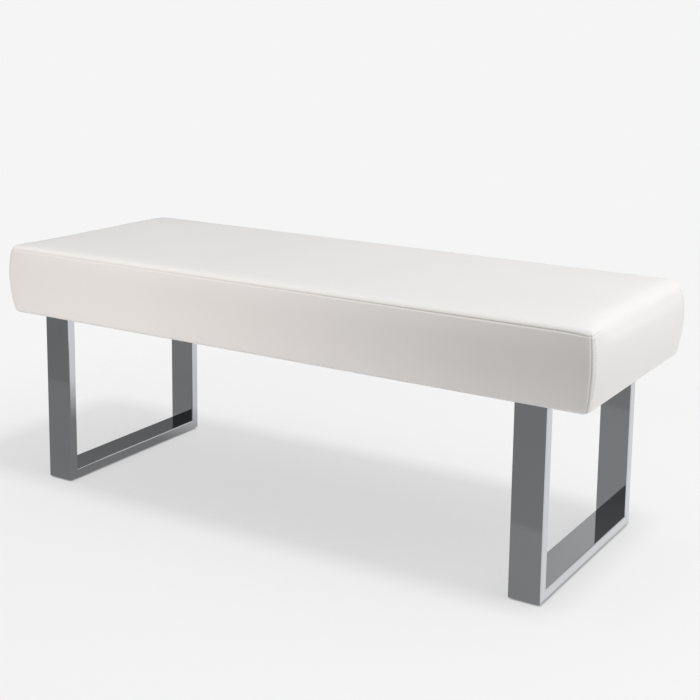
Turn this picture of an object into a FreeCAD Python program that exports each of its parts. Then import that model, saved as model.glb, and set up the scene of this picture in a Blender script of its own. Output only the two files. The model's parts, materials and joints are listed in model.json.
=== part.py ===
import FreeCAD, Part
import Sketcher
import math
import os

# Upholstered bench: a boxed leatherette cushion over a timber base, on two sled legs of flat chromed tube.
# +X runs along the seat, -Y is the front and +Z is up. The origin is on the floor, under the middle.

# Driving dimensions in millimetres
SIZES = {
    # Whole bench
    "seat_length": 1270,
    "seat_depth": 470,
    "seat_height": 487,
    "cushion_height": 145,
    # Form of the cushion
    "edge_roll": 9,
    "crown_rise": 4,
    "bulge_level": 82,
    "seam_draw": 3.5,
    "hem_draw": 7,
    "hem_round": 12,
    # Cover, foam and dust cover
    "cover_skin": 1.2,
    "hem_width": 40,
    "foam_clearance": 0.3,
    "strip_lift": 4,
    "dust_cover_skin": 0.6,
    "dust_cover_margin": 12,
    # Timber base
    "rail_height": 70,
    "rail_thickness": 25,
    "base_corner_round": 8,
    "deck_thickness": 12,
    "cleat_width": 100,
    "cleat_thickness": 30,
    "corner_block_side": 45,
    # Legs
    "leg_inset": 87,
    "leg_setback": 8,
    "tube_width": 60,
    "tube_depth": 20,
    "tube_wall": 1.5,
    "tube_round": 2.5,
    "bar_thickness": 6,
    # Glides
    "glide_height": 3,
    "glide_length": 40,
    "glide_width": 44,
    "glide_round": 6,
    "glide_inset": 45,
    "stem_diameter": 8,
    "stem_length": 8,
    # Leg bolts, washers and tee nuts
    "bolt_diameter": 8,
    "bolt_length": 45,
    "bolt_head_width": 13,
    "bolt_head_height": 5.3,
    "bolt_pitch": 90,
    "bolt_hole_clearance": 1,
    "washer_diameter": 17,
    "washer_thickness": 1.6,
    "tee_flange_diameter": 22,
    "tee_flange_thickness": 1.5,
    "tee_barrel_diameter": 10,
    "tee_barrel_length": 12,
    # Wood screws
    "deck_screw_diameter": 4,
    "deck_screw_head": 8,
    "deck_screw_length": 32,
    "rail_screw_diameter": 5,
    "rail_screw_head": 9.5,
    "rail_screw_length": 60,
    "cleat_screw_pitch": 50,
    # Staples along the hem
    "staple_crown": 10,
    "staple_wire": 1,
    "staple_leg": 8,
    "staple_margin": 8,
    # Reach of cutting blocks past the piece that they cut
    "overrun": 10,
}

# Counts, and shares of the sizes that they follow
BOLTS_PER_LEG = 4
HEX_SIDES = 6
LOWER_EDGE_ANGLES = (0, 30, 60, 90)
TOP_ROLL_ANGLES = (0, 18, 36, 54, 72, 90)
LOWER_WALL_SHARES = (0.25, 0.6, 1)
UPPER_WALL_SHARES = (0.5, 1)
CROWN_INWARD_SHARES = (0.06, 0.16, 0.32, 0.5, 0.7)
CROWN_RISE_SHARES = (0.16, 0.4, 0.68, 0.88, 1)
LONG_DECK_SCREW_SHARES = (-0.75, -0.45, -0.15, 0.15, 0.45, 0.75)
CROSS_DECK_SCREW_SHARES = (-0.5, 0.5)
RAIL_SCREW_HEIGHT_SHARES = (0.3, 0.65)
STAPLES_BETWEEN_LEGS = 12
END_STAPLE_SHARES = (-0.7, -0.35, 0, 0.35, 0.7)
SCREW_TIP_SHARE = 0.12

doc = FreeCAD.newDocument("bench")
sheet = doc.addObject("Spreadsheet::Sheet", "Sizes")
for row, (alias, size) in enumerate(SIZES.items(), start=1):
    sheet.set(f"A{row}", alias)
    sheet.set(f"B{row}", str(size))
    sheet.setAlias(f"B{row}", alias)
doc.recompute()

# Places and spans that several pieces share
HALF_LENGTH = "(Sizes.seat_length / 2)"
HALF_DEPTH = "(Sizes.seat_depth / 2)"
UNDERSIDE = "(Sizes.seat_height - Sizes.cushion_height)"
HEM_LEVEL = f"({UNDERSIDE} + Sizes.dust_cover_skin)"
BASE_LEVEL = f"({HEM_LEVEL} + Sizes.cover_skin)"
RAIL_TOP = f"({BASE_LEVEL} + Sizes.rail_height)"
DECK_TOP = f"({RAIL_TOP} + Sizes.deck_thickness)"
CLEAT_TOP = f"({BASE_LEVEL} + Sizes.cleat_thickness)"
SEAM_LEVEL = "(Sizes.seat_height - Sizes.crown_rise - Sizes.edge_roll)"
BASE_INSET = "(Sizes.hem_draw + Sizes.hem_round)"
BASE_HALF_LENGTH = f"({HALF_LENGTH} - {BASE_INSET})"
BASE_HALF_DEPTH = f"({HALF_DEPTH} - {BASE_INSET})"
INNER_HALF_LENGTH = f"({BASE_HALF_LENGTH} - Sizes.rail_thickness)"
INNER_HALF_DEPTH = f"({BASE_HALF_DEPTH} - Sizes.rail_thickness)"
END_RAIL_MIDDLE = f"({BASE_HALF_LENGTH} - Sizes.rail_thickness / 2)"
LONG_RAIL_MIDDLE = f"({BASE_HALF_DEPTH} - Sizes.rail_thickness / 2)"
LEG_OUTER = f"({HALF_LENGTH} - Sizes.leg_inset)"
LEG_MIDDLE = f"({LEG_OUTER} - Sizes.tube_width / 2)"
LEG_INNER = f"({LEG_OUTER} - Sizes.tube_width)"
LEG_HALF_DEPTH = f"({BASE_HALF_DEPTH} - Sizes.leg_setback)"
BAR_HALF_LENGTH = f"({LEG_HALF_DEPTH} - Sizes.tube_depth)"
WASHER_LEVEL = f"({UNDERSIDE} - Sizes.bar_thickness - Sizes.washer_thickness)"
GLIDE_MIDDLE = f"({LEG_HALF_DEPTH} - Sizes.glide_inset)"
DUST_HALF_LENGTH = f"({BASE_HALF_LENGTH} - Sizes.dust_cover_margin)"
DUST_HALF_DEPTH = f"({BASE_HALF_DEPTH} - Sizes.dust_cover_margin)"
STAPLE_LINE_X = f"({DUST_HALF_LENGTH} - Sizes.staple_margin)"
STAPLE_LINE_Y = f"({DUST_HALF_DEPTH} - Sizes.staple_margin)"
BOLT_HOLE = "(Sizes.bolt_diameter + Sizes.bolt_hole_clearance)"

SIDES = {"left": "-1", "right": "1"}
ENDS = {"front": "-1", "rear": "1"}
UP = FreeCAD.Vector(0, 0, 1)
ALONG = FreeCAD.Vector(1, 0, 0)
AS_DRAWN = FreeCAD.Rotation()
nodes = []


# Helpers that make, place and join objects of the document

def node(item, label):
    """Name an object as one piece of the bench."""
    item.Label = label
    nodes.append(item)
    return item


def place(item, x="0", y="0", z="0"):
    """Bind the place of an object to expressions."""
    for axis, expression in zip("xyz", (x, y, z)):
        item.setExpression(f"Placement.Base.{axis}", expression)
    return item


def turn(item, rotation):
    """Turn an object about its own origin."""
    item.Placement = FreeCAD.Placement(FreeCAD.Vector(), rotation)
    return item


def bound(kind, name, **expressions):
    """Add an object whose properties are bound to expressions."""
    item = doc.addObject(kind, name)
    for key, expression in expressions.items():
        item.setExpression(key, expression)
    return item


def box(name, x, y, z):
    """Add a block between two expressions along each axis."""
    item = bound("Part::Box", name, Length=f"{x[1]} - {x[0]}", Width=f"{y[1]} - {y[0]}",
                 Height=f"{z[1]} - {z[0]}")
    return place(item, x[0], y[0], z[0])


def both_ways(half):
    """Return the span of a half size either side of the middle."""
    return f"(-{half})", half


def cut(name, base, tool):
    """Take one object out of another."""
    item = doc.addObject("Part::Cut", name)
    item.Base = base
    item.Tool = tool
    return item


def common(name, base, tool):
    """Keep what two objects share."""
    item = doc.addObject("Part::Common", name)
    item.Base = base
    item.Tool = tool
    return item


def fuse(name, *items):
    """Join objects that make one solid."""
    item = doc.addObject("Part::MultiFuse", name)
    item.Shapes = list(items)
    return item


def group(name, items):
    """Gather separate solids in one object."""
    item = doc.addObject("Part::Compound", name)
    item.Links = list(items)
    return item


def repeat(name, master, places):
    """Set copies of one object at a list of (x, y, z, rotation) places."""
    copies = []
    for count, (x, y, z, rotation) in enumerate(places):
        copy = doc.addObject("App::Link", f"{name}_{count}")
        copy.LinkedObject = master
        turn(copy, rotation)
        copies.append(place(copy, x, y, z))
    return group(name, copies)


# Helpers that draw sketches

def body(name):
    """Add a body for sketched features."""
    return doc.addObject("PartDesign::Body", name)


def sketch_on(owner, role, name):
    """Add a sketch on one of a body's own origin planes."""
    sketch = owner.newObject("Sketcher::SketchObject", name)
    plane = next(item for item in owner.Origin.OriginFeatures if item.Role == role)
    sketch.AttachmentSupport = [(plane, "")]
    sketch.MapMode = "FlatFace"
    return sketch


def value(sketch, expression):
    """Return what an expression comes to, so that outlines are drawn at their size."""
    return float(sketch.evalExpression(expression))


def measure(sketch, name, expression, kind, *places):
    """Add a named constraint that is bound to an expression."""
    index = sketch.addConstraint(Sketcher.Constraint(kind, *places, value(sketch, expression)))
    sketch.renameConstraint(index, name)
    sketch.setExpression(f"Constraints.{name}", expression)


def rounded_rectangle(sketch, half_x, half_y, corner, prefix="outer"):
    """Draw a rounded rectangle about the sketch's origin, clockwise from its far side."""
    reach_x = value(sketch, half_x)
    reach_y = value(sketch, half_y)
    radius = value(sketch, corner)
    lines = []
    arcs = []
    for quarter in range(4):
        to_side = FreeCAD.Rotation(UP, 90 - 90 * quarter)
        out, along = (reach_x, reach_y) if quarter % 2 else (reach_y, reach_x)
        first = to_side.multVec(FreeCAD.Vector(out, along - radius, 0))
        last = to_side.multVec(FreeCAD.Vector(out, radius - along, 0))
        lines.append(sketch.addGeometry(Part.LineSegment(first, last), False))
        centre = to_side.multVec(FreeCAD.Vector(out - radius, radius - along, 0))
        start = math.radians(-90 * quarter)
        ring = Part.Circle(centre, UP, radius)
        arcs.append(sketch.addGeometry(Part.ArcOfCircle(ring, start, start + math.pi / 2), False))
    for quarter in range(4):
        following = lines[(quarter + 1) % 4]
        sketch.addConstraint(Sketcher.Constraint("Tangent", lines[quarter], 2, arcs[quarter], 2))
        sketch.addConstraint(Sketcher.Constraint("Tangent", arcs[quarter], 1, following, 1))
        if quarter:
            sketch.addConstraint(Sketcher.Constraint("Equal", arcs[0], arcs[quarter]))
    sketch.addConstraint(Sketcher.Constraint("Horizontal", lines[0]))
    sketch.addConstraint(Sketcher.Constraint("Vertical", lines[1]))
    sketch.addConstraint(Sketcher.Constraint("Symmetric", arcs[0], 3, arcs[2], 3, -1, 1))
    measure(sketch, f"{prefix}_half_width", half_x, "DistanceX", -1, 1, lines[1], 1)
    measure(sketch, f"{prefix}_half_depth", half_y, "DistanceY", -1, 1, lines[0], 1)
    measure(sketch, f"{prefix}_corner", corner, "Radius", arcs[0])


def polygon(sketch, points, prefix="point"):
    """Draw a closed outline through (x, y) expressions."""
    spots = [FreeCAD.Vector(value(sketch, x), value(sketch, y), 0) for x, y in points]
    lines = []
    for step, spot in enumerate(spots):
        segment = Part.LineSegment(spot, spots[(step + 1) % len(spots)])
        lines.append(sketch.addGeometry(segment, False))
    for step, (x, y) in enumerate(points):
        sketch.addConstraint(Sketcher.Constraint("Coincident", lines[step - 1], 2, lines[step], 1))
        measure(sketch, f"{prefix}_x{step}", x, "DistanceX", -1, 1, lines[step], 1)
        measure(sketch, f"{prefix}_y{step}", y, "DistanceY", -1, 1, lines[step], 1)


def circle(sketch, radius, x, y, prefix="circle"):
    """Draw a circle at a place given by expressions."""
    centre = FreeCAD.Vector(value(sketch, x), value(sketch, y), 0)
    ring = sketch.addGeometry(Part.Circle(centre, UP, value(sketch, radius)), False)
    measure(sketch, f"{prefix}_x", x, "DistanceX", -1, 1, ring, 3)
    measure(sketch, f"{prefix}_y", y, "DistanceY", -1, 1, ring, 3)
    measure(sketch, f"{prefix}_radius", radius, "Radius", ring)


def pad(owner, sketch, name, length, both=False):
    """Raise a sketch to a solid, to one side or evenly to both."""
    feature = owner.newObject("PartDesign::Pad", name)
    feature.Profile = sketch
    feature.Midplane = both
    feature.setExpression("Length", length)
    return feature


def pocket(owner, sketch, name, length, both=False, backwards=False):
    """Cut a sketch into a solid."""
    feature = owner.newObject("PartDesign::Pocket", name)
    feature.Profile = sketch
    feature.Midplane = both
    feature.Reversed = backwards
    feature.setExpression("Length", length)
    return feature


# Fasteners, each made once and set out at its places

def wood_screw(name, size):
    """Make a countersunk screw that points down, with the top of its head at its origin."""
    shank = f"Sizes.{size}_diameter / 2"
    head = f"Sizes.{size}_head / 2"
    length = f"Sizes.{size}_length"
    taper = f"({head} - {shank})"
    tip = f"({length} * {SCREW_TIP_SHARE})"
    cone = bound("Part::Cone", f"{name}_head", Radius1=shank, Radius2=head, Height=taper)
    rod = bound("Part::Cylinder", f"{name}_shank", Radius=shank, Height=f"{length} - {taper} - {tip}")
    point = bound("Part::Cone", f"{name}_point", Radius1="0", Radius2=shank, Height=tip)
    place(cone, z=f"-{taper}")
    place(rod, z=f"{tip} - {length}")
    place(point, z=f"-{length}")
    return fuse(name, cone, rod, point)


def deck_screws():
    """Set screws through the deck into the rails under it."""
    places = []
    for share in LONG_DECK_SCREW_SHARES:
        for sign in ENDS.values():
            places.append((f"{BASE_HALF_LENGTH} * {share}", f"{LONG_RAIL_MIDDLE} * {sign}", DECK_TOP, AS_DRAWN))
    for share in CROSS_DECK_SCREW_SHARES:
        for x in ("0", f"-{END_RAIL_MIDDLE}", END_RAIL_MIDDLE):
            places.append((x, f"{INNER_HALF_DEPTH} * {share}", DECK_TOP, AS_DRAWN))
    return repeat("deck_screws", wood_screw("deck_screw", "deck_screw"), places)


def rail_screws():
    """Set screws through the long rails into the ends of the cross rails and the leg cleats."""
    heights = [f"{BASE_LEVEL} + Sizes.rail_height * {share}" for share in RAIL_SCREW_HEIGHT_SHARES]
    spots = [(x, z) for x in (f"-{END_RAIL_MIDDLE}", "0", END_RAIL_MIDDLE) for z in heights]
    for sign in SIDES.values():
        for step in SIDES.values():
            x = f"{LEG_MIDDLE} * {sign} + Sizes.cleat_screw_pitch / 2 * {step}"
            spots.append((x, f"{BASE_LEVEL} + Sizes.cleat_thickness / 2"))
    places = []
    for x, z in spots:
        places.append((x, f"-{BASE_HALF_DEPTH}", z, FreeCAD.Rotation(ALONG, 90)))
        places.append((x, BASE_HALF_DEPTH, z, FreeCAD.Rotation(ALONG, -90)))
    return repeat("rail_screws", wood_screw("rail_screw", "rail_screw"), places)


def hem_staples():
    """Set staples through the dust cover and the hem into the rails, clear of the legs."""
    master = body("hem_staple")
    sketch = sketch_on(master, "XZ_Plane", "staple_outline")
    half = "Sizes.staple_crown / 2"
    inner = f"({half} - Sizes.staple_wire)"
    low = "(-Sizes.staple_wire)"
    high = "Sizes.staple_leg"
    polygon(sketch, [(f"-{half}", low), (half, low), (half, high), (inner, high), (inner, "0"),
                     (f"-{inner}", "0"), (f"-{inner}", high), (f"-{half}", high)])
    pad(master, sketch, "staple_wire", "Sizes.staple_wire", both=True)
    outer_bay = f"({LEG_OUTER} + {STAPLE_LINE_X}) / 2"
    places = []
    for sign in ENDS.values():
        y = f"{STAPLE_LINE_Y} * {sign}"
        for step in range(STAPLES_BETWEEN_LEGS):
            share = (2 * step + 1) / STAPLES_BETWEEN_LEGS - 1
            places.append((f"{LEG_INNER} * {share}", y, UNDERSIDE, AS_DRAWN))
        places.append((outer_bay, y, UNDERSIDE, AS_DRAWN))
        places.append((f"-{outer_bay}", y, UNDERSIDE, AS_DRAWN))
    crosswise = FreeCAD.Rotation(UP, 90)
    for sign in SIDES.values():
        for share in END_STAPLE_SHARES:
            places.append((f"{STAPLE_LINE_X} * {sign}", f"{STAPLE_LINE_Y} * {share}", UNDERSIDE, crosswise))
    return repeat("hem_staples", master, places)


def bolt_places(side, z):
    """Return the places of a leg's bolts along its mounting bar."""
    places = []
    for step in range(BOLTS_PER_LEG):
        y = f"Sizes.bolt_pitch * {step - (BOLTS_PER_LEG - 1) / 2}"
        places.append((f"{LEG_MIDDLE} * {SIDES[side]}", y, z, AS_DRAWN))
    return places


def leg_bolt():
    """Make a hexagon bolt that points up, with the face under its head at its origin."""
    head = bound("Part::Prism", "leg_bolt_head", Height="Sizes.bolt_head_height",
                 Circumradius=f"Sizes.bolt_head_width / 2 / cos(180 / {HEX_SIDES})")
    head.Polygon = HEX_SIDES
    place(head, z="-Sizes.bolt_head_height")
    shank = bound("Part::Cylinder", "leg_bolt_shank", Radius="Sizes.bolt_diameter / 2",
                  Height="Sizes.bolt_length")
    return fuse("leg_bolt", head, shank)


def leg_washer():
    """Make a flat washer that rests on its origin."""
    disc = bound("Part::Cylinder", "washer_disc", Radius="Sizes.washer_diameter / 2",
                 Height="Sizes.washer_thickness")
    bore = bound("Part::Cylinder", "washer_bore", Radius=f"{BOLT_HOLE} / 2", Height="Sizes.washer_thickness")
    return cut("leg_washer", disc, bore)


def tee_nut():
    """Make a tee nut whose flange lies on its origin and whose barrel points down."""
    flange = bound("Part::Cylinder", "tee_flange", Radius="Sizes.tee_flange_diameter / 2",
                   Height="Sizes.tee_flange_thickness")
    barrel = bound("Part::Cylinder", "tee_barrel", Radius="Sizes.tee_barrel_diameter / 2",
                   Height="Sizes.tee_barrel_length")
    place(barrel, z="-Sizes.tee_barrel_length")
    bore = bound("Part::Cylinder", "tee_bore", Radius="Sizes.bolt_diameter / 2",
                 Height="Sizes.tee_barrel_length + Sizes.tee_flange_thickness")
    place(bore, z="-Sizes.tee_barrel_length")
    return cut("tee_nut", fuse("tee_blank", flange, barrel), bore)


# Timber base

def cleat(side):
    """Make the board that a leg bolts up into, bored for the barrels of its tee nuts."""
    owner = body(f"{side}_cleat_body")
    outline = sketch_on(owner, "XY_Plane", f"{side}_cleat_outline")
    half = "Sizes.cleat_width / 2"
    polygon(outline, [(f"-{half}", f"-{INNER_HALF_DEPTH}"), (half, f"-{INNER_HALF_DEPTH}"),
                      (half, INNER_HALF_DEPTH), (f"-{half}", INNER_HALF_DEPTH)])
    pad(owner, outline, f"{side}_cleat_board", "Sizes.cleat_thickness")
    bores = sketch_on(owner, "XY_Plane", f"{side}_cleat_bores")
    for count, (_, y, _, _) in enumerate(bolt_places(side, UNDERSIDE)):
        circle(bores, "Sizes.tee_barrel_diameter / 2", "0", y, f"bore{count}")
    pocket(owner, bores, f"{side}_cleat_holes", "Sizes.cleat_thickness", backwards=True)
    return place(owner, f"{LEG_MIDDLE} * {SIDES[side]}", "0", BASE_LEVEL)


def corner_blocks():
    """Make the glued blocks that stand on the cleats in the four inner corners."""
    owner = body("corner_block")
    outline = sketch_on(owner, "XY_Plane", "corner_block_outline")
    side = "Sizes.corner_block_side"
    polygon(outline, [("0", "0"), (side, "0"), ("0", side)])
    pad(owner, outline, "corner_block_pad", "Sizes.rail_height - Sizes.cleat_thickness")
    corners = [("-1", "-1"), ("1", "-1"), ("1", "1"), ("-1", "1")]
    places = []
    for quarter, (x, y) in enumerate(corners):
        rotation = FreeCAD.Rotation(UP, 90 * quarter)
        places.append((f"{INNER_HALF_LENGTH} * {x}", f"{INNER_HALF_DEPTH} * {y}", CLEAT_TOP, rotation))
    return repeat("corner_blocks", owner, places)


def base_outline():
    """Make the block that rounds the outer corners of the base."""
    owner = body("base_outline")
    outline = sketch_on(owner, "XY_Plane", "base_outline_corners")
    rounded_rectangle(outline, BASE_HALF_LENGTH, BASE_HALF_DEPTH, "Sizes.base_corner_round")
    pad(owner, outline, "base_outline_block", f"{DECK_TOP} - {BASE_LEVEL}")
    return place(owner, z=BASE_LEVEL)


def timber_base(fasteners):
    """Make the rails, cleats, blocks and deck, holed by the fasteners that they take."""
    rail_span = (BASE_LEVEL, RAIL_TOP)
    blanks = {
        "front_rail": box("front_rail_blank", both_ways(BASE_HALF_LENGTH),
                          (f"(-{BASE_HALF_DEPTH})", f"(-{INNER_HALF_DEPTH})"), rail_span),
        "rear_rail": box("rear_rail_blank", both_ways(BASE_HALF_LENGTH),
                         (INNER_HALF_DEPTH, BASE_HALF_DEPTH), rail_span),
        "left_end_rail": box("left_end_rail_blank", (f"(-{BASE_HALF_LENGTH})", f"(-{INNER_HALF_LENGTH})"),
                             both_ways(INNER_HALF_DEPTH), rail_span),
        "right_end_rail": box("right_end_rail_blank", (INNER_HALF_LENGTH, BASE_HALF_LENGTH),
                              both_ways(INNER_HALF_DEPTH), rail_span),
        "centre_rail": box("centre_rail_blank", both_ways("(Sizes.rail_thickness / 2)"),
                           both_ways(INNER_HALF_DEPTH), rail_span),
        "deck_panel": box("deck_panel_blank", both_ways(BASE_HALF_LENGTH), both_ways(BASE_HALF_DEPTH),
                          (RAIL_TOP, DECK_TOP)),
        "left_leg_cleat": cleat("left"),
        "right_leg_cleat": cleat("right"),
    }
    outline = base_outline()
    for label in ("front_rail", "rear_rail", "deck_panel"):
        blanks[label] = common(f"{label}_rounded", blanks[label], outline)
    for label, blank in blanks.items():
        node(cut(label, blank, fasteners), label)
    node(corner_blocks(), "corner_blocks")


# Cushion: foam and cover share one form, set in by the thickness of what lies outside

def section(name, inset, level, corner):
    """Draw the cushion's outline at one level, set in from its widest by the inset."""
    sketch = doc.addObject("Sketcher::SketchObject", name)
    rounded_rectangle(sketch, f"{HALF_LENGTH} - {inset}", f"{HALF_DEPTH} - {inset}", corner)
    return place(sketch, z=level)


def loft(name, outlines, ruled=False):
    """Raise a solid through (inset, level, corner) outlines."""
    item = doc.addObject("Part::Loft", name)
    item.Sections = [section(f"{name}_{count}", *outline) for count, outline in enumerate(outlines)]
    item.Solid = True
    item.Ruled = ruled
    return item


def corner_at(inset):
    """Return the corner radius of an outline that runs parallel to the base's at an inset."""
    return f"Sizes.base_corner_round + {BASE_INSET} - {inset}"


def wall_form(name, offset):
    """Make the cushion's form below the top seam: a rounded lower edge, then sides that swell and draw in."""
    rows = []
    for angle in LOWER_EDGE_ANGLES:
        reach = f"(Sizes.hem_round - {offset})"
        rows.append((f"({BASE_INSET} - {reach} * sin({angle}))",
                     f"{HEM_LEVEL} + Sizes.hem_round - {reach} * cos({angle})"))
    for share in LOWER_WALL_SHARES:
        rows.append((f"(Sizes.hem_draw * {(1 - share) ** 2} + {offset})",
                     f"{HEM_LEVEL} + Sizes.hem_round + (Sizes.bulge_level - Sizes.hem_round) * {share}"))
    swell_top = f"({HEM_LEVEL} + Sizes.bulge_level)"
    for share in UPPER_WALL_SHARES:
        rows.append((f"(Sizes.seam_draw * {share ** 2} + {offset})",
                     f"{swell_top} + ({SEAM_LEVEL} - {swell_top}) * {share}"))
    return loft(name, [(inset, level, corner_at(inset)) for inset, level in rows])


def crown_form(name, offset):
    """Make the cushion's form above the top seam: a rolled edge and a low crown."""
    roll_inset = "(Sizes.seam_draw + Sizes.edge_roll)"
    reach = f"(Sizes.edge_roll - {offset})"
    outlines = []
    for angle in TOP_ROLL_ANGLES:
        inset = f"({roll_inset} - {reach} * cos({angle}))"
        outlines.append((inset, f"{SEAM_LEVEL} + {reach} * sin({angle})", corner_at(inset)))
    for inward_share, rise_share in zip(CROWN_INWARD_SHARES, CROWN_RISE_SHARES):
        outlines.append((f"({roll_inset} + ({HALF_DEPTH} - {roll_inset}) * {inward_share})",
                         f"{SEAM_LEVEL} + {reach} + Sizes.crown_rise * {rise_share}", corner_at(roll_inset)))
    return loft(name, outlines, ruled=True)


def corner_wedge(name, degrees, reach, half_width, near):
    """Make a block that narrows at 45 degrees from outside one side of the cushion to its middle."""
    outer = f"({reach} + Sizes.overrun)"
    width = f"({half_width} + Sizes.overrun)"
    inner = f"({half_width} - {reach} + {near})"
    item = bound("Part::Wedge", name, Xmin=f"-{width}", Xmax=width, Ymin=f"-{outer}", Ymax=f"-{near}",
                 Zmin=f"{UNDERSIDE}", Zmax="Sizes.seat_height", X2min=f"-{inner}", X2max=inner,
                 Z2min=f"{UNDERSIDE}", Z2max="Sizes.seat_height")
    return turn(item, FreeCAD.Rotation(UP, degrees))


def cover(staples):
    """Make the cover's top panel and its four boxing panels, mitred at the corners and turned under."""
    skin = "Sizes.cover_skin"
    node(cut("cover_top", crown_form("crown_outer", "0"), crown_form("crown_inner", skin)), "cover_top")
    shell = cut("boxing_shell", wall_form("wall_outer", "0"), wall_form("wall_inner", skin))
    opening = box("hem_opening", both_ways(f"({BASE_HALF_LENGTH} - Sizes.hem_width)"),
                  both_ways(f"({BASE_HALF_DEPTH} - Sizes.hem_width)"),
                  (f"({HEM_LEVEL} - Sizes.overrun)", f"({BASE_LEVEL} + Sizes.overrun)"))
    boxing = cut("boxing_hemmed", shell, opening)
    end_near = f"({HALF_LENGTH} - {HALF_DEPTH})"
    wedges = {
        "front": corner_wedge("front_wedge", 0, HALF_DEPTH, HALF_LENGTH, "0"),
        "rear": corner_wedge("rear_wedge", 180, HALF_DEPTH, HALF_LENGTH, "0"),
        "left": corner_wedge("left_wedge", -90, HALF_LENGTH, HALF_DEPTH, end_near),
        "right": corner_wedge("right_wedge", 90, HALF_LENGTH, HALF_DEPTH, end_near),
    }
    for side, wedge in wedges.items():
        panel = common(f"{side}_boxing", boxing, wedge)
        node(cut(f"cover_{side}", panel, staples), f"cover_{side}")


def foam():
    """Make the top pad on the deck and the strips that pad the sides of the base."""
    offset = "(Sizes.cover_skin + Sizes.foam_clearance)"
    wall = wall_form("foam_wall", offset)
    whole = fuse("foam_whole", wall, crown_form("foam_crown", offset))
    far_x = f"({HALF_LENGTH} + Sizes.overrun)"
    far_y = f"({HALF_DEPTH} + Sizes.overrun)"
    below = box("below_deck", both_ways(far_x), both_ways(far_y), (UNDERSIDE, DECK_TOP))
    node(cut("seat_foam", whole, below), "seat_foam")
    strip_span = (f"({BASE_LEVEL} + Sizes.strip_lift)", DECK_TOP)
    zones = {
        "front": (both_ways(far_x), (f"(-{far_y})", f"(-{BASE_HALF_DEPTH})")),
        "rear": (both_ways(far_x), (BASE_HALF_DEPTH, far_y)),
        "left": ((f"(-{far_x})", f"(-{BASE_HALF_LENGTH})"), both_ways(BASE_HALF_DEPTH)),
        "right": ((BASE_HALF_LENGTH, far_x), both_ways(BASE_HALF_DEPTH)),
    }
    for side, (x, y) in zones.items():
        zone = box(f"{side}_strip_zone", x, y, strip_span)
        node(common(f"{side}_foam_strip", wall, zone), f"{side}_foam_strip")


def dust_cover(staples):
    """Make the cloth under the base, holed for the leg bolts and the staples."""
    cloth = box("dust_cover_cloth", both_ways(DUST_HALF_LENGTH), both_ways(DUST_HALF_DEPTH),
                (UNDERSIDE, HEM_LEVEL))
    punch = bound("Part::Cylinder", "dust_cover_punch", Radius=f"{BOLT_HOLE} / 2",
                  Height="Sizes.dust_cover_skin")
    places = bolt_places("left", UNDERSIDE) + bolt_places("right", UNDERSIDE)
    punched = cut("dust_cover_punched", cloth, repeat("dust_cover_punches", punch, places))
    node(cut("dust_cover", punched, staples), "dust_cover")


# Legs

def tube_section(sketch):
    """Draw the flat tube's outer and inner outlines, wide along the sketch's X."""
    half_width = "Sizes.tube_width / 2"
    half_depth = "Sizes.tube_depth / 2"
    rounded_rectangle(sketch, half_width, half_depth, "Sizes.tube_round")
    rounded_rectangle(sketch, f"{half_width} - Sizes.tube_wall", f"{half_depth} - Sizes.tube_wall",
                      "Sizes.tube_round - Sizes.tube_wall", "inner")


def upright(label, side, end):
    """Make one upright of a leg, mitred at its foot to meet the floor rail."""
    owner = body(f"{label}_body")
    outline = sketch_on(owner, "XY_Plane", f"{label}_section")
    tube_section(outline)
    pad(owner, outline, f"{label}_tube", f"{UNDERSIDE} - Sizes.glide_height")
    mitre = sketch_on(owner, "YZ_Plane", f"{label}_mitre")
    half = "(Sizes.tube_depth / 2 + Sizes.overrun)"
    polygon(mitre, [(f"-{half}", "-Sizes.overrun"), (half, "-Sizes.overrun"),
                    (half, "Sizes.tube_depth + Sizes.overrun")])
    pocket(owner, mitre, f"{label}_foot", "Sizes.tube_width + Sizes.overrun", both=True)
    turn(owner, FreeCAD.Rotation(UP, 0 if end == "front" else 180))
    y = f"({LEG_HALF_DEPTH} - Sizes.tube_depth / 2) * {ENDS[end]}"
    node(place(owner, f"{LEG_MIDDLE} * {SIDES[side]}", y, "Sizes.glide_height"), label)


def floor_rail(label, side):
    """Make the rail along the floor, mitred at both ends and bored below for its glides."""
    owner = body(f"{label}_body")
    outline = sketch_on(owner, "XZ_Plane", f"{label}_section")
    tube_section(outline)
    pad(owner, outline, f"{label}_tube", f"2 * {LEG_HALF_DEPTH}", both=True)
    low = "(-Sizes.tube_depth / 2)"
    for end, sign in ENDS.items():
        mitre = sketch_on(owner, "YZ_Plane", f"{label}_{end}_mitre")
        tip = f"({LEG_HALF_DEPTH} + Sizes.overrun) * {sign}"
        root = f"({LEG_HALF_DEPTH} - Sizes.tube_depth - Sizes.overrun) * {sign}"
        polygon(mitre, [(tip, f"{low} - Sizes.overrun"), (tip, "Sizes.tube_depth / 2 + Sizes.overrun"),
                        (root, "Sizes.tube_depth / 2 + Sizes.overrun")])
        pocket(owner, mitre, f"{label}_{end}_cut", "Sizes.tube_width + Sizes.overrun", both=True)
    bores = sketch_on(owner, "XY_Plane", f"{label}_bores")
    for end, sign in ENDS.items():
        circle(bores, "Sizes.stem_diameter / 2", "0", f"{GLIDE_MIDDLE} * {sign}", f"{end}_bore")
    pocket(owner, bores, f"{label}_stem_holes", "Sizes.tube_depth / 2")
    node(place(owner, f"{LEG_MIDDLE} * {SIDES[side]}", "0", "Sizes.glide_height + Sizes.tube_depth / 2"), label)


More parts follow.
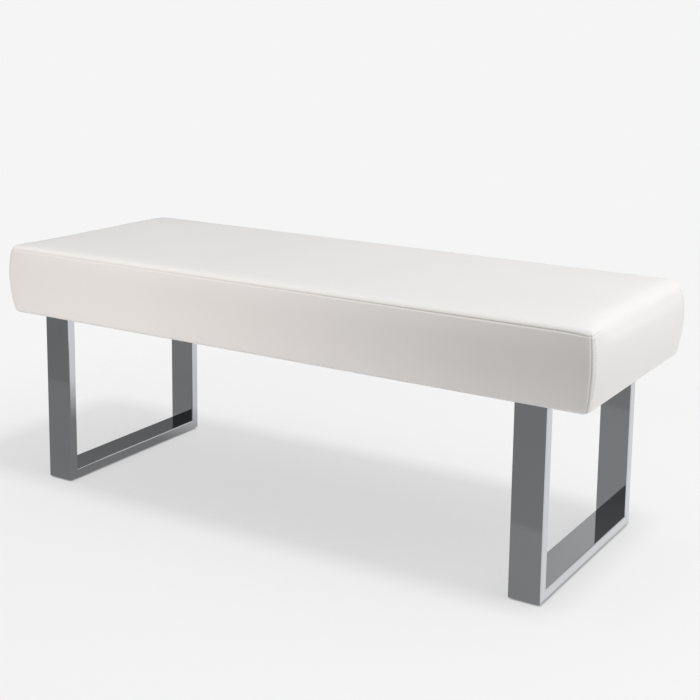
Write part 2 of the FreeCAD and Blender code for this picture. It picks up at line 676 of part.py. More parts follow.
def mounting_bar(label, side):
    """Make the flat bar between the tops of the uprights, bored for the leg bolts."""
    owner = body(f"{label}_body")
    outline = sketch_on(owner, "XY_Plane", f"{label}_outline")
    half = "(Sizes.tube_width / 2 - Sizes.tube_round)"
    polygon(outline, [(f"-{half}", f"-{BAR_HALF_LENGTH}"), (half, f"-{BAR_HALF_LENGTH}"),
                      (half, BAR_HALF_LENGTH), (f"-{half}", BAR_HALF_LENGTH)])
    pad(owner, outline, f"{label}_plate", "Sizes.bar_thickness")
    bores = sketch_on(owner, "XY_Plane", f"{label}_bores")
    for count, (_, y, _, _) in enumerate(bolt_places(side, UNDERSIDE)):
        circle(bores, f"{BOLT_HOLE} / 2", "0", y, f"bore{count}")
    pocket(owner, bores, f"{label}_holes", "Sizes.bar_thickness", backwards=True)
    z = f"{UNDERSIDE} - Sizes.bar_thickness"
    node(place(owner, f"{LEG_MIDDLE} * {SIDES[side]}", "0", z), label)


def glide(label, side, end):
    """Make a push-in foot pad with its stem."""
    owner = body(f"{label}_body")
    outline = sketch_on(owner, "XY_Plane", f"{label}_outline")
    rounded_rectangle(outline, "Sizes.glide_width / 2", "Sizes.glide_length / 2", "Sizes.glide_round")
    pad(owner, outline, f"{label}_pad", "Sizes.glide_height")
    stem = sketch_on(owner, "XY_Plane", f"{label}_stem_outline")
    circle(stem, "Sizes.stem_diameter / 2", "0", "0")
    pad(owner, stem, f"{label}_stem", "Sizes.glide_height + Sizes.stem_length")
    node(place(owner, f"{LEG_MIDDLE} * {SIDES[side]}", f"{GLIDE_MIDDLE} * {ENDS[end]}"), label)


def legs():
    """Make both legs with the bolts, washers and tee nuts that hold them."""
    bolt = leg_bolt()
    washer = leg_washer()
    nut = tee_nut()
    for side in SIDES:
        for end in ENDS:
            upright(f"{side}_{end}_upright", side, end)
            glide(f"{side}_{end}_glide", side, end)
        floor_rail(f"{side}_floor_rail", side)
        mounting_bar(f"{side}_mounting_bar", side)
        node(repeat(f"{side}_leg_bolts", bolt, bolt_places(side, WASHER_LEVEL)), f"{side}_leg_bolts")
        node(repeat(f"{side}_bolt_washers", washer, bolt_places(side, WASHER_LEVEL)), f"{side}_bolt_washers")
        node(repeat(f"{side}_tee_nuts", nut, bolt_places(side, CLEAT_TOP)), f"{side}_tee_nuts")


def check_document():
    """Stop if any object failed or any piece has no valid solid."""
    for item in doc.Objects:
        if {"Invalid", "Error"} & set(item.State):
            raise RuntimeError(f"{item.Label} failed: {item.State}")
    for item in nodes:
        if item.Shape.isNull() or not item.Shape.isValid() or not item.Shape.Solids:
            raise RuntimeError(f"{item.Label} has no valid solid")


def main():
    """Build the bench and write each piece to its own file."""
    screws_in_deck = node(deck_screws(), "deck_screws")
    screws_in_rails = node(rail_screws(), "rail_screws")
    staples = node(hem_staples(), "hem_staples")
    timber_base(group("timber_fasteners", [screws_in_deck, screws_in_rails, staples]))
    foam()
    cover(staples)
    dust_cover(staples)
    legs()
    doc.recompute()
    check_document()
    os.makedirs("parts", exist_ok=True)
    for item in nodes:
        item.Shape.exportStep(f"parts/{item.Label}.step")
        print(item.Label, len(item.Shape.Solids), round(item.Shape.Volume))


main()
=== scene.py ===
"""A white leatherette box bench on two chromed tube legs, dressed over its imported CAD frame."""

import json
import logging
import math
from dataclasses import dataclass, field
from enum import Enum
from typing import Any, Callable

import bmesh
import bpy
import numpy as np
from mathutils import Matrix, Vector


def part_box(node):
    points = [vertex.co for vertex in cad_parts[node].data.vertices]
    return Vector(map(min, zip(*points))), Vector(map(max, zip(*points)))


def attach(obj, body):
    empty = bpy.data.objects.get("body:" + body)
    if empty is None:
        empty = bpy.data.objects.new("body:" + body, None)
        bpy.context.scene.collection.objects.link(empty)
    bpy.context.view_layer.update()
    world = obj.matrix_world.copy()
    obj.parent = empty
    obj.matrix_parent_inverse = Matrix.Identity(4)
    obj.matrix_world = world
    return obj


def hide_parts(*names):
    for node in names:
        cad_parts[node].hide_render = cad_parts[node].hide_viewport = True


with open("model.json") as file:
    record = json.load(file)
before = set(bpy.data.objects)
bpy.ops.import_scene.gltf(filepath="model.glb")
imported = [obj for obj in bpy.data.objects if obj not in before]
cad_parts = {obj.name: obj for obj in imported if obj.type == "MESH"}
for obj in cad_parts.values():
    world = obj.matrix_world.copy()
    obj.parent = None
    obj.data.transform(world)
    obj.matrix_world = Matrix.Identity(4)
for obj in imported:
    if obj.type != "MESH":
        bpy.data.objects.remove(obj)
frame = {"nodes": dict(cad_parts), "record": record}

LOG = logging.getLogger("bench")
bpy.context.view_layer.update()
MM = 0.001
Point = tuple[float, float, float]


class Slot(Enum):
    """The record's material slots that show on the bench."""

    LEATHERETTE = "leatherette"
    SOFTWOOD = "softwood"
    PLYWOOD = "plywood"
    CHROME = "chromed_tube"
    ZINC = "zinc_steel"
    GLIDE = "glide_plastic"
    DUST_CLOTH = "dust_cloth"


class Pick(Enum):
    """What a selection in edit mode is made of."""

    VERTEX = "VERT"
    EDGE = "EDGE"
    FACE = "FACE"


def linear(colour: str) -> tuple[float, float, float, float]:
    """Turns an sRGB hex colour to linear RGBA.

    Args:
        colour: The colour as "#RRGGBB".

    Returns:
        Linear red, green, blue and an alpha of one.
    """
    parts = [int(colour[place:place + 2], 16) / 255 for place in (1, 3, 5)]
    red, green, blue = (c / 12.92 if c <= 0.04045 else ((c + 0.055) / 1.055) ** 2.4 for c in parts)
    return red, green, blue, 1.0


def feed(tree: bpy.types.NodeTree, node: bpy.types.Node, inputs: dict[str | int, Any]) -> None:
    """Sets or links a node's inputs.

    Args:
        tree: The node tree.
        node: The node.
        inputs: A number, a colour or another node's output for each input, by name or place.
    """
    for key, value in inputs.items():
        if isinstance(value, bpy.types.NodeSocket):
            tree.links.new(value, node.inputs[key])
        else:
            node.inputs[key].default_value = value


def add_node(tree: bpy.types.NodeTree, kind: str, settings: dict[str, Any] | None = None,
             inputs: dict[str | int, Any] | None = None) -> bpy.types.Node:
    """Adds one node with its settings and links.

    Args:
        tree: The node tree that takes the node.
        kind: The node's type name without its "ShaderNode" start.
        settings: The node's own properties.
        inputs: A number, a colour or another node's output for each input, by name or place.

    Returns:
        The new node.
    """
    made = tree.nodes.new(f"ShaderNode{kind}")
    for name, value in (settings or {}).items():
        setattr(made, name, value)
    feed(tree, made, inputs or {})
    return made


def blend(tree: bpy.types.NodeTree, share: Any, first: Any, second: Any) -> bpy.types.NodeSocket:
    """Mixes two colours.

    Args:
        tree: The node tree.
        share: The second colour's share, as an output or a number.
        first: The first colour, linear RGBA or an output.
        second: The second colour.

    Returns:
        The mixed colour.
    """
    return add_node(tree, "Mix", {"data_type": "RGBA"}, {0: share, 6: first, 7: second}).outputs[2]


def ramp(tree: bpy.types.NodeTree, value: bpy.types.NodeSocket, start: float, end: float,
         low: float = 0.0, high: float = 1.0) -> bpy.types.NodeSocket:
    """Maps a value from start..end to low..high, held at both ends.

    Args:
        tree: The node tree.
        value: The value.
        start: Where the result is low.
        end: Where the result is high.
        low: The result at the start.
        high: The result at the end.

    Returns:
        The mapped value.
    """
    return add_node(tree, "MapRange", inputs={
        "Value": value, "From Min": start, "From Max": end, "To Min": low, "To Max": high}).outputs["Result"]


def bare_material(title: str) -> bpy.types.Material:
    """A new material of that name without any nodes."""
    material = bpy.data.materials.new(title)
    material.use_nodes = True
    material.node_tree.nodes.clear()
    return material


def per_metre(size_mm: float) -> float:
    """A texture scale, in repeats to the metre, for a detail of a size in millimetres."""
    return 1000 / size_mm


def noise(tree: bpy.types.NodeTree, place: bpy.types.NodeSocket, size_mm: float,
          detail: float) -> bpy.types.NodeSocket:
    """Cloudy noise from 0 to 1, with patches of a size in millimetres and so many finer layers."""
    return add_node(tree, "TexNoise", inputs={
        "Vector": place, "Scale": per_metre(size_mm), "Detail": detail}).outputs["Fac"]


@dataclass(frozen=True)
class Finish:
    """What all finishes share: a material of that name with one principled shader."""

    title: str

    def build(self) -> bpy.types.Material:
        """Makes the material.

        Returns:
            The finished material.
        """
        material = bare_material(self.title)
        tree = material.node_tree
        shader = add_node(tree, "BsdfPrincipled")
        add_node(tree, "OutputMaterial", inputs={"Surface": shader.outputs["BSDF"]})
        place = add_node(tree, "TexCoord").outputs["Object"]
        self.dress(tree, shader, place)
        return material

    def dress(self, tree: bpy.types.NodeTree, shader: bpy.types.Node, place: bpy.types.NodeSocket) -> None:
        """Adds the finish's own nodes.

        Args:
            tree: The material's node tree.
            shader: Its principled shader.
            place: Object coordinates.
        """
        raise NotImplementedError


@dataclass(frozen=True)
class Leatherette(Finish):
    """Polyurethane-coated cloth with a pebbled grain pressed in by a roller."""

    title: str = "polyurethane_leatherette"
    skin: str = "#EDECEB"
    shade: str = "#E8E6E3"
    seam_shade_tone: str = "#CDC8C2"
    cloud_mm: float = 240.0
    grain_mm: float = 1.9
    grain_depth_mm: float = 0.05

    def dress(self, tree: bpy.types.NodeTree, shader: bpy.types.Node, place: bpy.types.NodeSocket) -> None:
        """Gives an even off-white with a soft sheen, a faint pebble and painted shade in the seam grooves.

        Args:
            tree: The material's node tree.
            shader: Its principled shader.
            place: Object coordinates.
        """
        cloud = noise(tree, place, self.cloud_mm, 3.0)
        skin = blend(tree, cloud, linear(self.skin), linear(self.shade))
        # Painted shade: the leatherette is greyed in the seams' grooves, where the cushion's mesh marks them.
        painted_seam_shade = add_node(tree, "Attribute", {"attribute_name": "painted_seam_shade"})
        sewn = blend(tree, painted_seam_shade.outputs["Fac"], skin, linear(self.seam_shade_tone))
        # The pebble is about 1 mm on the real cloth, drawn at nearly twice that so that it shows.
        pebble = add_node(tree, "TexVoronoi", {"feature": "SMOOTH_F1"}, {
            "Vector": place, "Scale": per_metre(self.grain_mm), "Smoothness": 0.6})
        bump = add_node(tree, "Bump", {"invert": True}, {
            "Strength": 0.35, "Distance": self.grain_depth_mm * MM, "Height": pebble.outputs["Distance"]})
        gloss = ramp(tree, pebble.outputs["Distance"], 0.0, 1.0, 0.42, 0.56)
        feed(tree, shader, {
            "Base Color": sewn, "Roughness": gloss, "Normal": bump.outputs["Normal"],
            "IOR": 1.46, "Specular IOR Level": 0.4})


@dataclass(frozen=True)
class PolishedChrome(Finish):
    """Bright chromium plate on buffed steel tube."""

    title: str = "polished_chromium_plate"
    plate: str = "#D4D6D9"
    haze: str = "#C8CACE"
    haze_mm: float = 130.0
    swirl_mm: float = 9.0
    wave_mm: float = 70.0
    wave_depth_mm: float = 0.02

    def dress(self, tree: bpy.types.NodeTree, shader: bpy.types.Node, place: bpy.types.NodeSocket) -> None:
        """Gives a mirror with the slight waves of the buffing wheel and a little haze of handling.

        Args:
            tree: The material's node tree.
            shader: Its principled shader.
            place: Object coordinates.
        """
        haze = noise(tree, place, self.haze_mm, 4.0)
        tone = blend(tree, haze, linear(self.plate), linear(self.haze))
        swirl = noise(tree, place, self.swirl_mm, 2.0)
        gloss = ramp(tree, swirl, 0.3, 0.7, 0.03, 0.09)
        wave = noise(tree, place, self.wave_mm, 1.0)
        bump = add_node(tree, "Bump", inputs={
            "Strength": 0.4, "Distance": self.wave_depth_mm * MM, "Height": wave})
        feed(tree, shader, {
            "Base Color": tone, "Roughness": gloss, "Normal": bump.outputs["Normal"],
            "Metallic": 1.0})


@dataclass(frozen=True)
class ZincPlate(Finish):
    """Bright zinc plate on rolled steel fixings."""

    title: str = "zinc_plated_steel"
    bright: str = "#C3C6C9"
    dull: str = "#9DA0A3"
    patch_mm: float = 3.0

    def dress(self, tree: bpy.types.NodeTree, shader: bpy.types.Node, place: bpy.types.NodeSocket) -> None:
        """Gives a grey metal with the satin patches of barrel plating.

        Args:
            tree: The material's node tree.
            shader: Its principled shader.
            place: Object coordinates.
        """
        patch = noise(tree, place, self.patch_mm, 3.0)
        tone = blend(tree, patch, linear(self.bright), linear(self.dull))
        gloss = ramp(tree, patch, 0.0, 1.0, 0.28, 0.5)
        feed(tree, shader, {"Base Color": tone, "Roughness": gloss, "Metallic": 1.0})


@dataclass(frozen=True)
class MouldedPolythene(Finish):
    """Black polythene, injection moulded in a spark-eroded tool."""

    title: str = "moulded_black_polythene"
    body: str = "#17171A"
    scuff: str = "#3A3A3D"
    scuff_mm: float = 6.0
    spark_mm: float = 0.8

    def dress(self, tree: bpy.types.NodeTree, shader: bpy.types.Node, place: bpy.types.NodeSocket) -> None:
        """Gives a satin black with paler scuffs and the tool's fine pitting.

        Args:
            tree: The material's node tree.
            shader: Its principled shader.
            place: Object coordinates.
        """
        scuff = noise(tree, place, self.scuff_mm, 4.0)
        worn = ramp(tree, scuff, 0.5, 0.8, 0.0, 0.5)
        tone = blend(tree, worn, linear(self.body), linear(self.scuff))
        spark = add_node(tree, "TexNoise", inputs={"Vector": place, "Scale": per_metre(self.spark_mm)})
        bump = add_node(tree, "Bump", inputs={
            "Strength": 0.3, "Distance": 0.03 * MM, "Height": spark.outputs["Fac"]})
        feed(tree, shader, {
            "Base Color": tone, "Normal": bump.outputs["Normal"], "Roughness": 0.5, "IOR": 1.51})


@dataclass(frozen=True)
class SpunCloth(Finish):
    """Black spun-bonded polypropylene, welded in rows of small points."""

    title: str = "spunbonded_polypropylene"
    web: str = "#1B1B1D"
    weld: str = "#2C2C2F"
    fibre_mm: float = 5.0
    point_mm: float = 2.0

    def dress(self, tree: bpy.types.NodeTree, shader: bpy.types.Node, place: bpy.types.NodeSocket) -> None:
        """Gives a dull felted black with slightly shinier pressed points.

        Args:
            tree: The material's node tree.
            shader: Its principled shader.
            place: Object coordinates.
        """
        fibre = add_node(tree, "TexNoise", inputs={
            "Vector": place, "Scale": per_metre(self.fibre_mm), "Detail": 6.0, "Roughness": 0.7})
        turned = add_node(tree, "Mapping", inputs={
            "Vector": place, "Rotation": (0.0, 0.0, math.radians(45))})
        point = add_node(tree, "TexVoronoi", inputs={
            "Vector": turned.outputs["Vector"], "Scale": per_metre(self.point_mm), "Randomness": 0.0})
        welded = ramp(tree, point.outputs["Distance"], 0.2, 0.4, 1.0, 0.0)
        tone = blend(tree, fibre.outputs["Fac"], linear(self.web), linear(self.weld))
        gloss = ramp(tree, welded, 0.0, 1.0, 0.95, 0.6)
        bump = add_node(tree, "Bump", {"invert": True}, {
            "Strength": 0.5, "Distance": 0.15 * MM, "Height": welded})
        feed(tree, shader, {
            "Base Color": tone, "Roughness": gloss, "Normal": bump.outputs["Normal"]})


@dataclass(frozen=True)
class SawnTimber(Finish):
    """Timber in growth rings or in plies, cut across with a saw."""

    early: str = "#D9BD92"
    late: str = "#B98F5C"
    ring_mm: float = 5.0
    stretch: Point = (0.08, 1.0, 1.0)

    def dress(self, tree: bpy.types.NodeTree, shader: bpy.types.Node, place: bpy.types.NodeSocket) -> None:
        """Gives pale wood with darker bands that run along it, and a dull planed face.

        Args:
            tree: The material's node tree.
            shader: Its principled shader.
            place: Object coordinates.
        """
        along = add_node(tree, "Mapping", inputs={"Vector": place, "Scale": self.stretch})
        ring = add_node(tree, "TexNoise", inputs={
            "Vector": along.outputs["Vector"], "Scale": per_metre(self.ring_mm), "Detail": 4.0, "Distortion": 0.6})
        tone = blend(tree, ring.outputs["Fac"], linear(self.early), linear(self.late))
        bump = add_node(tree, "Bump", inputs={
            "Strength": 0.3, "Distance": 0.1 * MM, "Height": ring.outputs["Fac"]})
        feed(tree, shader, {"Base Color": tone, "Normal": bump.outputs["Normal"], "Roughness": 0.7})


@dataclass(frozen=True)
class Thread(Finish):
    """Bonded polyester sewing thread of two twisted plies."""

    title: str = "bonded_polyester_thread"
    crown: str = "#E6E3DE"
    ply_shade_tone: str = "#BDB8B1"
    ply_mm: float = 0.9

    def dress(self, tree: bpy.types.NodeTree, shader: bpy.types.Node, place: bpy.types.NodeSocket) -> None:
        """Gives off-white plies with a soft shine and painted shade in the hollows between them.

        Args:
            tree: The material's node tree.
            shader: Its principled shader.
            place: Object coordinates.
        """
        ply = add_node(tree, "TexWave", {"bands_direction": "DIAGONAL"}, {
            "Vector": place, "Scale": per_metre(self.ply_mm) / math.tau, "Distortion": 0.5})
        # The hollows between the plies are darkened with painted shade.
        tone = blend(tree, ply.outputs["Fac"], linear(self.ply_shade_tone), linear(self.crown))
        bump = add_node(tree, "Bump", inputs={
            "Strength": 0.4, "Distance": 0.1 * MM, "Height": ply.outputs["Fac"]})
        feed(tree, shader, {"Base Color": tone, "Normal": bump.outputs["Normal"], "Roughness": 0.55})


def deselect() -> None:
    """Leaves edit mode and deselects every object."""
    if bpy.context.mode != "OBJECT":
        bpy.ops.object.mode_set(mode="OBJECT")
    bpy.ops.object.select_all(action="DESELECT")


def activate(piece: bpy.types.Object) -> None:
    """Makes one object the only selected and active one."""
    deselect()
    piece.select_set(True)
    bpy.context.view_layer.objects.active = piece


def pick(piece: bpy.types.Object, what: Pick, test: Callable[[list[Vector]], bool]) -> None:
    """Selects what passes a test, in edit mode.

    Args:
        piece: The mesh object, which is active and in edit mode.
        what: Whether vertices, edges or faces are picked.
        test: Says whether an element with corners at these points is picked.
    """
    bpy.ops.mesh.select_mode(type=what.value)
    bpy.ops.mesh.select_all(action="DESELECT")
    mesh = bmesh.from_edit_mesh(piece.data)
    if what is Pick.VERTEX:
        for vertex in mesh.verts:
            vertex.select_set(test([vertex.co]))
    else:
        for element in (mesh.edges if what is Pick.EDGE else mesh.faces):
            element.select_set(test([vertex.co for vertex in element.verts]))
    bmesh.update_edit_mesh(piece.data)


def settle(piece: bpy.types.Object) -> None:
    """Puts an object's place, turn and scale into its mesh."""
    activate(piece)
    bpy.ops.object.transform_apply(location=True, rotation=True, scale=True)


def points_of(piece: bpy.types.Object) -> np.ndarray:
    """A mesh object's points, one row each."""
    points = np.empty(len(piece.data.vertices) * 3)
    piece.data.vertices.foreach_get("co", points)
    return points.reshape(-1, 3)


def normals_of(piece: bpy.types.Object) -> np.ndarray:
    """A mesh object's vertex normals, one row each."""
    normals = np.empty(len(piece.data.vertices) * 3)
    piece.data.vertex_normals.foreach_get("vector", normals)
    return normals.reshape(-1, 3)


def set_points(piece: bpy.types.Object, points: np.ndarray) -> None:
    """Moves a mesh object's points to these rows."""
    piece.data.vertices.foreach_set("co", points.ravel())
    piece.data.update()


def spread(reach: float, step: float) -> list[float]:
    """Even places from minus reach to reach, without the ends, no further apart than step."""
    count = math.ceil(2 * reach / step)
    return [2 * reach * place / count - reach for place in range(1, count)]


@dataclass
class Cushion:
    """The padded seat: one closed, crowned form with a top seam and four corner seams."""

    panels: tuple[str, ...] = ("cover_top", "cover_front", "cover_rear", "cover_left", "cover_right")
    padding: tuple[str, ...] = (
        "seat_foam", "front_foam_strip", "rear_foam_strip", "left_foam_strip", "right_foam_strip")
    front_round: float = 14 * MM
    rear_round: float = 20 * MM
    edge_roll: float = 12 * MM
    end_roll: float = 30 * MM
    roll_reach: float = 130 * MM
    corner_dip: float = 3 * MM
    dip_reach: float = 32 * MM
    hem_round: float = 9 * MM
    bulge_rise: float = 82 * MM
    seam_draw: tuple[float, float] = (4.5 * MM, 3.0 * MM)
    hem_draw: float = 7 * MM
    end_hem_draw: float = 0.5 * MM
    hem_reach: float = 80 * MM
    crown: float = 2.5 * MM
    swell: float = 1.5 * MM
    end_ease: float = 4 * MM
    panel_step: float = 15 * MM
    wall_step: float = 9 * MM
    seam_steps: tuple[float, ...] = (0.6 * MM, 1.3 * MM, 2.3 * MM, 4.0 * MM, 7.0 * MM)
    groove_depth: float = 0.9 * MM
    groove_width: float = 1.0 * MM
    lip_rise: float = 0.45 * MM
    lip_place: float = 3.2 * MM
    lip_width: float = 1.7 * MM
    end_seam_share: float = 0.03
    left_seam_share: float = 0.3
    right_seam_share: float = 0.6
    pucker: float = 0.22 * MM
    pucker_reach: float = 14 * MM
    pucker_waves: tuple[tuple[float, float], ...] = ((23 * MM, 0.0), (37 * MM, 1.1), (61 * MM, 2.3))
    corner_wave: float = 29 * MM
    wall_fade: float = 3 * MM
    dip_fade: float = 50 * MM
    end_seam_reach: float = 60 * MM
    cloth_voxel: float = 6 * MM
    cloth_frames: int = 20
    cloth_pressure: float = 0.2
    cloth_stretch: float = 30.0
    cloth_bend: float = 2.0
    fill: float = 0.9
    low: Vector = field(init=False)
    high: Vector = field(init=False)
    seam: float = field(init=False)
    piece: bpy.types.Object = field(init=False)

    def __post_init__(self) -> None:
        """Reads the cushion's box and its seam's height from the frame."""
        boxes = [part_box(panel) for panel in self.panels]
        self.low = Vector(min(box[0][axis] for box in boxes) for axis in range(3))
        self.high = Vector(max(box[1][axis] for box in boxes) for axis in range(3))
        self.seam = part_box("cover_top")[0][2]

    @property
    def half_length(self) -> float:
        """Half the start form's length."""
        return self.high.x - self.swell - self.end_ease

    @property
    def half_depth(self) -> float:
        """Half the start form's depth."""
        return self.high.y - self.swell

    @property
    def block_top(self) -> float:
        """The height of the start form's flat top."""
        return self.high.z - self.crown - self.swell

    def round_at(self, rear: int) -> float:
        """The round of a corner in plan: 1 stands for a rear corner and -1 for a front one."""
        return self.rear_round if rear > 0 else self.front_round

    def build(self, skin: bpy.types.Material) -> bpy.types.Object:
        """Models the cushion and puts it in the covers' and foams' place.

        Args:
            skin: The leatherette.

        Returns:
            The cushion.
        """
        self.block()
        self.rule_lines()
        self.shape()
        self.plump()
        self.sew()
        self.finish(skin)
        return self.piece

    def block(self) -> None:
        """Adds the rounded block that the cushion starts from."""
        top = self.block_top
        deselect()
        bpy.ops.mesh.primitive_cube_add(
            size=1.0, location=(0.0, 0.0, (top + self.low.z) / 2),
            scale=(2 * self.half_length, 2 * self.half_depth, top - self.low.z))
        self.piece = bpy.context.object
        self.piece.name = "seat_cushion"
        settle(self.piece)
        bpy.ops.object.mode_set(mode="EDIT")
        for rear in (-1, 1):
            pick(self.piece, Pick.EDGE, lambda ends: (
                abs(ends[0].z - ends[1].z) > self.hem_round and rear * ends[0].y > self.half_depth - MM))
            bpy.ops.mesh.bevel(offset=self.round_at(rear), segments=8, profile=0.5, affect="EDGES")
        pick(self.piece, Pick.EDGE, lambda ends: min(end.z for end in ends) > top - MM)
        bpy.ops.mesh.bevel(offset=self.edge_roll, segments=6, profile=0.5, affect="EDGES")
        pick(self.piece, Pick.EDGE, lambda ends: max(end.z for end in ends) < self.low.z + MM)
        bpy.ops.mesh.bevel(offset=self.hem_round, segments=5, profile=0.5, affect="EDGES")
        bpy.ops.object.mode_set(mode="OBJECT")

    def slice(self, place: Point, across: Point) -> None:
        """Cuts one line round what is selected.

        Args:
            place: A point of the cutting plane.
            across: The plane's normal.
        """
        bpy.ops.mesh.bisect(plane_co=place, plane_no=across, use_fill=False)

    def rule_lines(self) -> None:
        """Rules an even net over the block, with close lines beside each seam."""
        activate(self.piece)
        bpy.ops.object.mode_set(mode="EDIT")
        bpy.ops.mesh.select_mode(type=Pick.FACE.value)
        offsets = [side * step for step in self.seam_steps for side in (-1, 1)] + [0.0]
        cuts: list[tuple[Point, Point]] = []
        for x in spread(self.half_length - self.front_round, self.panel_step):
            cuts.append(((x, 0.0, 0.0), (1.0, 0.0, 0.0)))
        for y in spread(self.half_depth - self.front_round, self.panel_step):
            cuts.append(((0.0, y, 0.0), (0.0, 1.0, 0.0)))
        middle = (self.seam + self.low.z) / 2
        for rise in spread((self.seam - self.low.z) / 2 - self.hem_round, self.wall_step):
            cuts.append(((0.0, 0.0, middle + rise), (0.0, 0.0, 1.0)))
        for offset in offsets:
            cuts.append(((0.0, 0.0, self.seam + offset), (0.0, 0.0, 1.0)))
        for place, across in cuts:
            bpy.ops.mesh.select_all(action="SELECT")
            self.slice(place, across)
        for right in (-1, 1):
            for rear in (-1, 1):
                self.rule_corner(right, rear, offsets)
        bpy.ops.object.mode_set(mode="OBJECT")

    def rule_corner(self, right: int, rear: int, offsets: list[float]) -> None:
        """Rules the close lines beside one corner seam.

        Args:
            right: 1 for a right corner and -1 for a left one.
            rear: 1 for a rear corner and -1 for a front one.
            offsets: The lines' distances from the seam.
        """
        axis = Vector((right * (self.half_length - self.round_at(rear)),
                       rear * (self.half_depth - self.round_at(rear)), 0.0))
        across = Vector((right, -rear, 0.0)).normalized()

        def in_corner(corners: list[Vector]) -> bool:
            """Says whether a face is on the wall within the corner's round."""
            middle = sum(corners, Vector()) / len(corners)
            beyond = min(right * (middle.x - axis.x), rear * (middle.y - axis.y))
            return beyond > -0.2 * MM and middle.z < self.seam + self.edge_roll / 2

        for offset in offsets:
            pick(self.piece, Pick.FACE, in_corner)
            self.slice(tuple(axis + across * offset), tuple(across))

    def shape(self) -> None:
        """Draws the walls in to the seam and to the hem, rolls the ends, crowns the top and dips its corners."""
        self.mark_seams()
        points = points_of(self.piece)
        side = np.sign(points[:, :2])
        x, y = np.abs(points[:, :2]).T
        z = points[:, 2]
        rise = z - self.low.z
        below = np.clip((self.bulge_rise - rise) / (self.bulge_rise - self.hem_round), 0, 1)
        above = np.clip((rise - self.bulge_rise) / (self.seam - self.low.z - self.bulge_rise), 0, 1)
        between = np.clip((self.half_depth - y) / self.hem_reach, 0, 1)
        hem = self.hem_draw + self.end_hem_draw * between ** 2 * (3 - 2 * between)
        x = x * (1 - (hem * below ** 2 + self.seam_draw[0] * above ** 2) / self.half_length)
        y = y * (1 - (self.hem_draw * below ** 2 + self.seam_draw[1] * above ** 2) / self.half_depth)
        # The roll over an end's top edge is small at the sewn front corner and widens behind it.
        apart = np.clip((self.half_depth + y * side[:, 1]) / self.roll_reach, 0, 1)
        roll = self.edge_roll + (self.end_roll - self.edge_roll) * apart ** 2 * (3 - 2 * apart)
        out = x - (self.half_length - self.seam_draw[0] - roll)
        up = z - (self.block_top - roll)
        keep = np.minimum(1, roll / np.maximum(np.hypot(out, up), MM))
        rolled = (out > 0) & (up > 0)
        x = np.where(rolled, x - out * (1 - keep), x)
        z = np.where(rolled, z - up * (1 - keep), z)
        edge = np.minimum(self.half_length - x, self.half_depth - y)
        inward = np.clip((edge - self.edge_roll) / (self.half_depth - self.edge_roll), 0, 1)
        z = z + (z > self.seam + self.edge_roll / 2) * self.crown * (1 - (1 - inward) ** 3)
        corner = np.hypot(self.half_length - x, self.half_depth - y) / self.dip_reach
        upper = np.clip((z - self.seam) / self.dip_fade + 1, 0, 1)
        z = z - self.corner_dip * upper * np.exp(-corner ** 2)
        set_points(self.piece, np.stack((x * side[:, 0], y * side[:, 1], z), axis=1))

    def plump(self) -> None:
        """Swells a remeshed copy with cloth under pressure and lays the cushion on it."""
        activate(self.piece)
        bpy.ops.object.duplicate()
        cloth = bpy.context.object
        cloth.name = "plumped_copy"
        cloth.data.remesh_voxel_size = self.cloth_voxel
        cloth.data.use_remesh_preserve_volume = True
        bpy.ops.object.voxel_remesh()
        start = points_of(cloth)
        held = cloth.vertex_groups.new(name="held")
        under = np.flatnonzero(start[:, 2] < self.low.z + 2 * MM)
        held.add(under.tolist(), 1.0, "REPLACE")
        modifier = cloth.modifiers.new("plump", "CLOTH")
        modifier.settings.vertex_group_mass = held.name
        modifier.settings.use_pressure = True
        modifier.settings.uniform_pressure_force = self.cloth_pressure
        modifier.settings.effector_weights.gravity = 0.0
        modifier.settings.tension_stiffness = self.cloth_stretch
        modifier.settings.compression_stiffness = self.cloth_stretch
        modifier.settings.bending_stiffness = self.cloth_bend
        modifier.point_cache.frame_start = 1
        modifier.point_cache.frame_end = self.cloth_frames
        for moment in range(1, self.cloth_frames + 1):
            bpy.context.scene.frame_set(moment)
        activate(cloth)
        bpy.ops.object.modifier_apply(modifier=modifier.name)
        bpy.context.scene.frame_set(1)
        moved = points_of(cloth) - start
        far = np.linalg.norm(moved, axis=1)
        LOG.info("the cloth moved up to %.1f mm, %.1f mm on average", far.max() / MM, far.mean() / MM)
        capped = self.swell * np.tanh(far / self.swell) / np.maximum(far, 1e-9)
        set_points(cloth, start + moved * capped[:, None])
        smooth = cloth.modifiers.new("even", "SMOOTH")
        smooth.factor = 0.5
        smooth.iterations = 3
        bpy.ops.object.modifier_apply(modifier=smooth.name)
        activate(self.piece)
        wrap = self.piece.modifiers.new("wrap", "SHRINKWRAP")
        wrap.target = cloth
        wrap.wrap_method = "TARGET_PROJECT"
        bpy.ops.object.modifier_apply(modifier=wrap.name)
        bpy.data.objects.remove(cloth)

